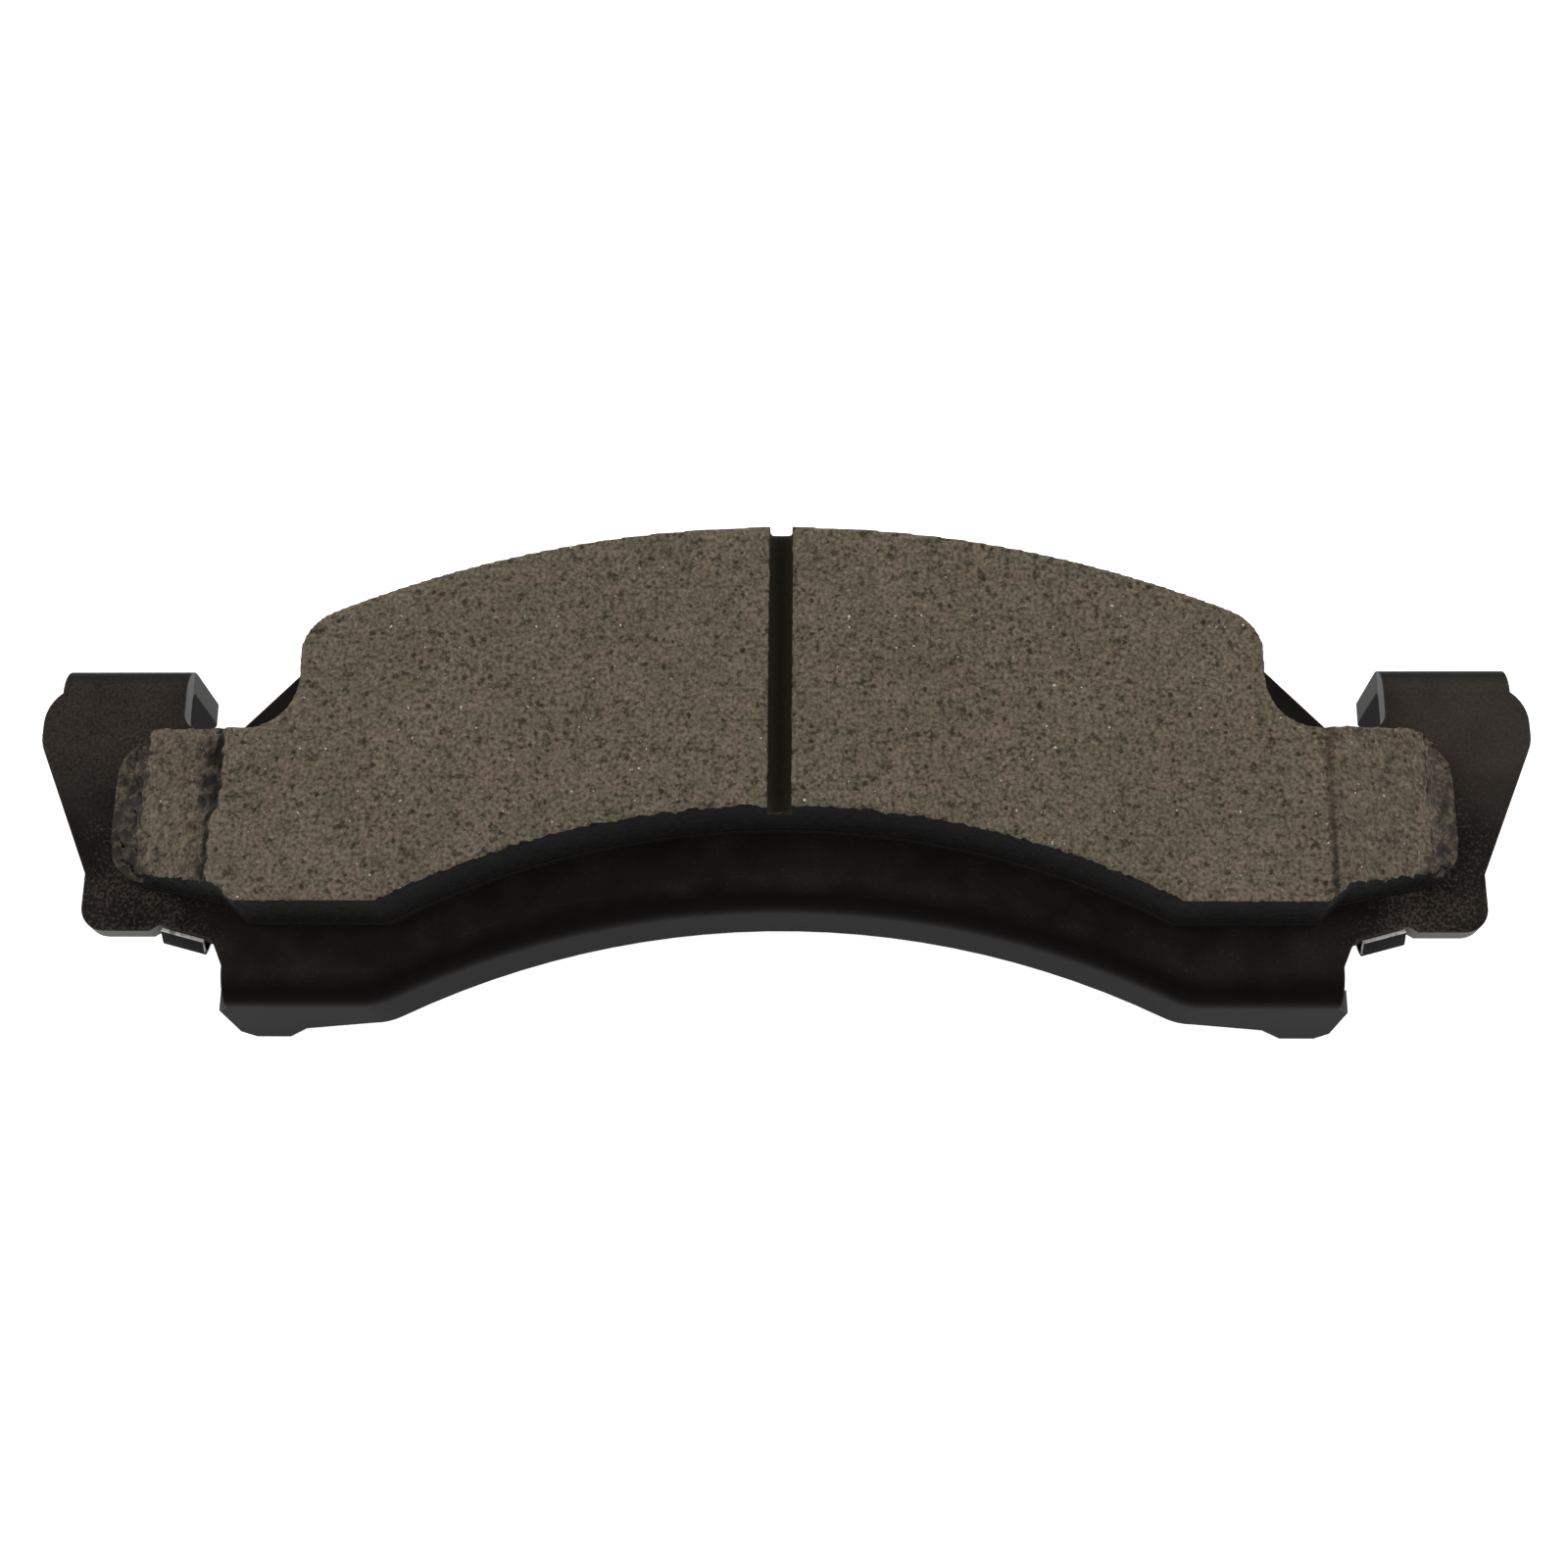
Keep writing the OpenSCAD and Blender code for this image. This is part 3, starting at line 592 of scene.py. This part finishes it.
def soft_layer(name, dark, light, grain_mm, roughness, relief_mm):
    """A thin layer that shows only at its edge and back: two close shades in a fine grain."""
    material, tree, shader = new_material(name)
    place = add(tree, "ShaderNodeTexCoord").outputs["Object"]
    grain = add(tree, "ShaderNodeTexNoise",
                inputs={"Vector": place, "Scale": 1000 / grain_mm, "Detail": 3.0})
    drift = add(tree, "ShaderNodeTexNoise", inputs={"Vector": place, "Scale": 1000 / 14, "Detail": 3.0})
    both = add(tree, "ShaderNodeMath", {"operation": "MULTIPLY_ADD"},
               {0: drift.outputs[0], 1: 0.5, 2: grain.outputs[0]})
    blend = add(tree, "ShaderNodeMapRange", inputs={0: both.outputs[0], 1: 0.5, 2: 1.0})
    colour = add(tree, "ShaderNodeMix", {"data_type": "RGBA"},
                 {0: blend.outputs[0], 6: hex_linear(dark), 7: hex_linear(light)})
    gloss = add(tree, "ShaderNodeMapRange",
                inputs={0: drift.outputs[0], 1: 0.3, 2: 0.7, 3: roughness - 0.07, 4: roughness + 0.07})
    relief = add(tree, "ShaderNodeBump", inputs={"Strength": 0.4, "Distance": relief_mm * MM,
                                                 "Height": grain.outputs[0]})
    tree.links.new(colour.outputs[2], shader.inputs["Base Color"])
    tree.links.new(gloss.outputs[0], shader.inputs["Roughness"])
    tree.links.new(relief.outputs[0], shader.inputs["Normal"])
    shader.inputs["Specular IOR Level"].default_value = 0.2
    return material


# ------------------------------------------------------- marks left by the mould, and painted shade at the step and crease

def torn_line(y):
    """A ragged offset in mm along the wings, from three waves of different length."""
    return 0.55 * np.sin(y * 1.9) + 0.35 * np.sin(y * 4.3 + 1.0) + 0.2 * np.sin(y * 9.1)


def left_step(x, y, torn):
    """Left wing: the mould's step stands below the ground block and is torn along its edge.
    Gives the depth of the step and a painted shadow of the step on the wing beside it."""
    brink = -LEFT_STEP - STEP_SHIFT * ramp_between(y, -8.3, -10.2)
    deep_part = ramp_between(y, -10.5, -7.0) * ramp_between(y, 2.2, -0.5)
    depth = ramp_between(x, brink + 0.3 + 0.3 * torn, brink - 0.3 + 0.3 * torn)
    depth *= ramp_between(x, -90.0, brink - 1.4 + torn) * (0.55 + 0.45 * deep_part)
    # Painted shadow: a band beside the torn brink, wider where the step is deep, with a narrow gutter of
    # painted shade right at the brink.
    shade = ramp_between(x, brink + 0.25 + 0.3 * torn, brink - 0.15 + 0.3 * torn)
    shade *= ramp_between(x, brink - 5.2 + torn, brink - 2.2 + 0.5 * torn) * (0.55 + 0.35 * deep_part)
    width = 1.3 + 1.1 * deep_part
    gutter_shade = ramp_between(x, brink + 0.2 + 0.2 * torn, brink - 0.1 + 0.2 * torn)
    gutter_shade *= ramp_between(x, brink - width + 0.4 * torn, brink - 0.6 * width + 0.3 * torn)
    return depth, np.maximum(shade, gutter_shade)


def right_crease(x, y, torn):
    """Right wing: a shallow crease, with a painted shade line along it and blotches of painted shade
    beside its upper half.
    """
    valley = RIGHT_CREASE + 0.12 * torn
    depth = ramp_between(x, valley - 0.5, valley - 0.1) * ramp_between(x, valley + 0.9, valley + 0.2)
    # Painted shade: a dark line along the crease and dark blotches beside it.
    crease_line_shade = ramp_between(np.abs(x - valley - 0.1), 0.75, 0.1)
    crease_blotch_shade = ramp_between(x, valley - 0.2, valley + 0.2)
    crease_blotch_shade = crease_blotch_shade * ramp_between(x, valley + 3.2 + torn, valley + 0.6)
    return depth, np.maximum(0.9 * crease_line_shade, 0.6 * crease_blotch_shade * ramp_between(y, -12.0, -6.0))


def moulded_skin(x, y, torn):
    """How much of the mould's own dark skin is left: most at the wing ends and their corners."""
    out = np.abs(x)
    left, right = (x < 0), (x > 0)
    end = ramp_between(out + 0.6 * torn, np.where(left, 86.6, 88.4), np.where(left, 89.8, 91.6))
    ridge = 0.38 * ramp_between(x, -77.0, -78.5) + 0.4 * ramp_between(x, 74.5, 76.0)
    low_edge = ramp_between(y + 0.21 * (out - 78), -18.4, -20.2) * (out > 76)
    top_edge = ramp_between(y - 0.13 * (out - 78), 1.2, 3.2) * (out > 84)
    corner = ramp_between(out - 0.7 * y, 96.3, 99.3)
    layers = [end * (0.9 * left + 0.8 * right), ridge, 0.5 * low_edge, 0.5 * top_edge, 0.95 * corner]
    return np.maximum.reduce(layers)


# -------------------------------------------------------------------- operators

class BRAKEPAD_OT_lining(bpy.types.Operator):
    """Makes the moulded lining from the CAD block, with crumbled edges and rough wing ends"""
    bl_idname = "brakepad.lining"
    bl_label = "Moulded lining"

    def execute(self, context):
        settings = context.scene.brakepad_lining
        low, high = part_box("friction_block")
        piece = copy_of_node("friction_block", "moulded_lining")
        apply_modifier(piece, "REMESH", mode="VOXEL", voxel_size=settings.voxel)
        count = len(piece.data.vertices)
        places = np.zeros(count * 3)
        piece.data.vertices.foreach_get("co", places)
        normals = np.zeros(count * 3)
        piece.data.vertices.foreach_get("normal", normals)
        x, y, z = (places.reshape(-1, 3) / MM).T
        _, ny, nz = normals.reshape(-1, 3).T
        foot = low.z / MM
        torn = torn_line(y)
        clear_of_foot = ramp_between(z, foot + 0.2, foot + 1.2)
        slot = ramp_between(np.abs(x), 3.4, 2.2)
        side = ramp_between(nz, 0.93, 0.6) * clear_of_foot * (1 - 0.75 * slot)
        side *= 0.1 + 0.9 * ramp_between(ny, 0.25, -0.25)
        wing = ramp_between(np.abs(x), 86.5, 91.0) * clear_of_foot * np.where(x < 0, 1.0, 0.5)
        step, step_shade = left_step(x, y, torn)
        crease, crease_shade = right_crease(x, y, torn)
        above_slope = ramp_between(z, 9.5, 11.0)
        # The step_shade attribute holds painted shade: the shadow beside the left step and the shade in
        # the right crease.
        shade = np.maximum(step_shade, crease_shade) * above_slope
        for name, values in (("step_shade", shade), ("moulded", moulded_skin(x, y, torn))):
            attribute = piece.data.attributes.new(name, "FLOAT", "POINT")
            attribute.data.foreach_set("value", values.astype(np.float32))
        weigh(piece, "sides", side)
        weigh(piece, "wing_ends", wing)
        weigh(piece, "left_crease", step * above_slope)
        weigh(piece, "right_crease", crease * ramp_between(z, 13.5, 14.5))
        common = {"texture_coords": "LOCAL"}
        apply_modifier(piece, "DISPLACE", texture=clouds("crumble", 0.9, 3, 1.6),
                       vertex_group="sides", mid_level=1.0, strength=settings.crumble, **common)
        apply_modifier(piece, "DISPLACE", texture=clouds("rough_wing", 1.7, 3, 2.4),
                       vertex_group="wing_ends", mid_level=1.0, strength=1.5 * MM, **common)
        common["direction"] = "Z"
        apply_modifier(piece, "DISPLACE", texture=clouds("crease_left", 1.3, 3, 1.5),
                       vertex_group="left_crease", mid_level=1.8, strength=0.8 * MM, **common)
        apply_modifier(piece, "DISPLACE", texture=clouds("crease_right", 2.0, 2, 1.0),
                       vertex_group="right_crease", mid_level=1.5, strength=0.3 * MM, **common)
        piece.vertex_groups.clear()
        piece.data.vertices.foreach_get("co", places)
        # The wing ends lean in towards the face, as the mould's draft leaves them.
        x, y, z = (places.reshape(-1, 3) / MM).T
        lean_in = ramp_between(np.abs(x), 85.0, 92.0) * ramp_between(z, foot + 0.2, foot + 1.6)
        places.reshape(-1, 3)[:, 0] -= np.sign(x) * WING_LEAN * lean_in * MM
        kept = np.clip(places.reshape(-1, 3), np.array(low), np.array(high))
        piece.data.vertices.foreach_set("co", kept.ravel())
        piece.data.update()
        activate(piece)
        bpy.ops.object.shade_smooth_by_angle(angle=CRUMBLE_ANGLE)
        dress(piece, ground_lining(settings))
        finish_piece(piece, ["friction_block"])
        return {"FINISHED"}


class BRAKEPAD_OT_plate(bpy.types.Operator):
    """Dresses the stamped backing plate in black dip coat with rounded sheared edges"""
    bl_idname = "brakepad.plate"
    bl_label = "Backing plate"

    def execute(self, context):
        settings = context.scene.brakepad_plate
        piece = copy_of_node("backing_plate", "stamped_plate")
        drop_inner_walls(piece)
        round_edges(piece, settings.edge_round, 3, miter_outer="MITER_ARC")
        apply_modifier(piece, "WEIGHTED_NORMAL", keep_sharp=True, mode="FACE_AREA")
        dress(piece, dip_coated_steel(settings))
        finish_piece(piece, ["backing_plate"])
        return {"FINISHED"}


class BRAKEPAD_OT_shim(bpy.types.Operator):
    """Dresses the folded shim: its steel core, its rubber coat and its adhesive"""
    bl_idname = "brakepad.shim"
    bl_label = "Noise shim"

    def execute(self, context):
        settings = context.scene.brakepad_shim
        core = copy_of_node("shim_core", "folded_shim")
        round_edges(core, settings.edge_round, 2)
        dress(core, coated_shim_steel(settings))
        finish_piece(core, ["shim_core"])
        # Nitrile rubber coat: matt black with a fine sanded grain.
        dress(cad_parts["shim_rubber"],
              soft_layer("Nitrile rubber coat", "#181818", "#262625", 0.5, 0.78, 0.05))
        # Pressure-sensitive adhesive: amber-brown, a little glossy where it squeezes out.
        dress(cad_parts["shim_adhesive"],
              soft_layer("Acrylic adhesive film", "#3d3426", "#5a4d38", 1.2, 0.4, 0.02))
        return {"FINISHED"}


class BRAKEPAD_OT_layers(bpy.types.Operator):
    """Dresses the underlayer with its moulded plugs and the film that bonds it to the plate"""
    bl_idname = "brakepad.layers"
    bl_label = "Underlayer and bond"

    def execute(self, context):
        # Underlayer mix: finer and darker than the lining, black where the coat covers its sides.
        dress(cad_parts["underlayer"],
              soft_layer("Moulded underlayer mix", "#0c0b0a", "#191614", 0.7, 0.86, 0.12))
        # Phenolic bond film: dark brown, baked hard, slightly glossy.
        dress(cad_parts["bond_film"],
              soft_layer("Baked phenolic bond film", "#120e0b", "#231a13", 0.9, 0.5, 0.03))
        return {"FINISHED"}


class BRAKEPAD_OT_studio(bpy.types.Operator):
    """Sets the plain pale floor, the soft lights and the camera"""
    bl_idname = "brakepad.studio"
    bl_label = "Floor, lights and camera"

    def execute(self, context):
        settings = context.scene.brakepad_studio
        deselect()
        bpy.ops.mesh.primitive_plane_add(size=FLOOR_SIZE, location=(0, 0, CAD_BOX[0][2] - FLOOR_GAP))
        floor = bpy.context.object
        floor.name = "studio_floor"
        bpy.ops.object.transform_apply(location=True, rotation=True, scale=True)
        material, tree, shader = new_material("Matt white studio floor")
        place = add(tree, "ShaderNodeTexCoord").outputs["Object"]
        tooth = add(tree, "ShaderNodeTexNoise",
                    inputs={"Vector": place, "Scale": 1000 / 2.5, "Detail": 2.0})
        relief = add(tree, "ShaderNodeBump", inputs={"Strength": 0.05, "Distance": 0.2 * MM,
                                                     "Height": tooth.outputs[0]})
        tree.links.new(relief.outputs[0], shader.inputs["Normal"])
        shader.inputs["Base Color"].default_value = (*settings.floor, 1)
        shader.inputs["Roughness"].default_value = 0.9
        shader.inputs["Emission Color"].default_value = (1, 1, 1, 1)
        shader.inputs["Emission Strength"].default_value = 0.8
        dress(floor, material)

        for name, where, size, power in (
                ("soft_box_left", (-0.75, 0.1, 0.65), 0.6, settings.key_power),
                ("soft_box_right", (0.75, 0.1, 0.65), 0.6, settings.key_power),
                ("soft_box_back", (0.0, 0.85, 0.3), 0.5, settings.key_power * 0.3)):
            light = bpy.data.lights.new(name, "AREA")
            light.shape, light.size, light.energy = "SQUARE", size, power
            lamp = bpy.data.objects.new(name, light)
            aim = Vector(where).to_track_quat("Z", "Y").to_matrix().to_4x4()
            lamp.matrix_world = Matrix.Translation(where) @ aim
            context.scene.collection.objects.link(lamp)

        world = bpy.data.worlds.new("Studio room")
        world.use_nodes = True
        world.node_tree.nodes["Background"].inputs["Color"].default_value = (1, 1, 1, 1)
        world.node_tree.nodes["Background"].inputs["Strength"].default_value = settings.fill
        context.scene.world = world

        lens = bpy.data.cameras.new("studio_camera")
        lens.lens, lens.sensor_width, lens.clip_start = settings.lens, 36.0, 0.01
        camera = bpy.data.objects.new("studio_camera", lens)
        camera.matrix_world = (Matrix.Translation(CAMERA_PLACE) @ Matrix.Rotation(CAMERA_PITCH, 4, "X")
                               @ Matrix.Rotation(CAMERA_ROLL, 4, "Y"))
        context.scene.collection.objects.link(camera)
        context.scene.camera = camera
        context.scene.view_settings.view_transform = "Standard"
        return {"FINISHED"}


class BRAKEPAD_PT_sidebar(bpy.types.Panel):
    """Lists the sizes and colours, and a button for each group of pieces"""
    bl_idname = "BRAKEPAD_PT_sidebar"
    bl_label = "Brake Pad"
    bl_space_type = "VIEW_3D"
    bl_region_type = "UI"
    bl_category = "Brake Pad"

    def draw(self, context):
        groups = (("Lining", "brakepad_lining", LiningProperties, BRAKEPAD_OT_lining),
                  ("Backing plate", "brakepad_plate", PlateProperties, BRAKEPAD_OT_plate),
                  ("Shim", "brakepad_shim", ShimProperties, BRAKEPAD_OT_shim),
                  ("Layers", None, None, BRAKEPAD_OT_layers),
                  ("Studio", "brakepad_studio", StudioProperties, BRAKEPAD_OT_studio))
        for title, owner, kind, operator in groups:
            box = self.layout.box()
            box.label(text=title)
            if owner:
                for name in kind.__annotations__:
                    box.prop(getattr(context.scene, owner), name)
            box.operator(operator.bl_idname)


GROUPS = {"brakepad_lining": LiningProperties, "brakepad_plate": PlateProperties,
          "brakepad_shim": ShimProperties, "brakepad_studio": StudioProperties}
CLASSES = (LiningProperties, PlateProperties, ShimProperties, StudioProperties,
           BRAKEPAD_OT_lining, BRAKEPAD_OT_plate, BRAKEPAD_OT_shim, BRAKEPAD_OT_layers,
           BRAKEPAD_OT_studio, BRAKEPAD_PT_sidebar)


def register():
    for kind in CLASSES:
        bpy.utils.register_class(kind)
    for name, kind in GROUPS.items():
        setattr(bpy.types.Scene, name, bpy.props.PointerProperty(type=kind))


def unregister():
    for name in GROUPS:
        delattr(bpy.types.Scene, name)
    for kind in reversed(CLASSES):
        bpy.utils.unregister_class(kind)


def main():
    register()
    bpy.ops.brakepad.plate()
    bpy.ops.brakepad.layers()
    bpy.ops.brakepad.lining()
    bpy.ops.brakepad.shim()
    bpy.ops.brakepad.studio()


if __name__ == "__main__":
    main()
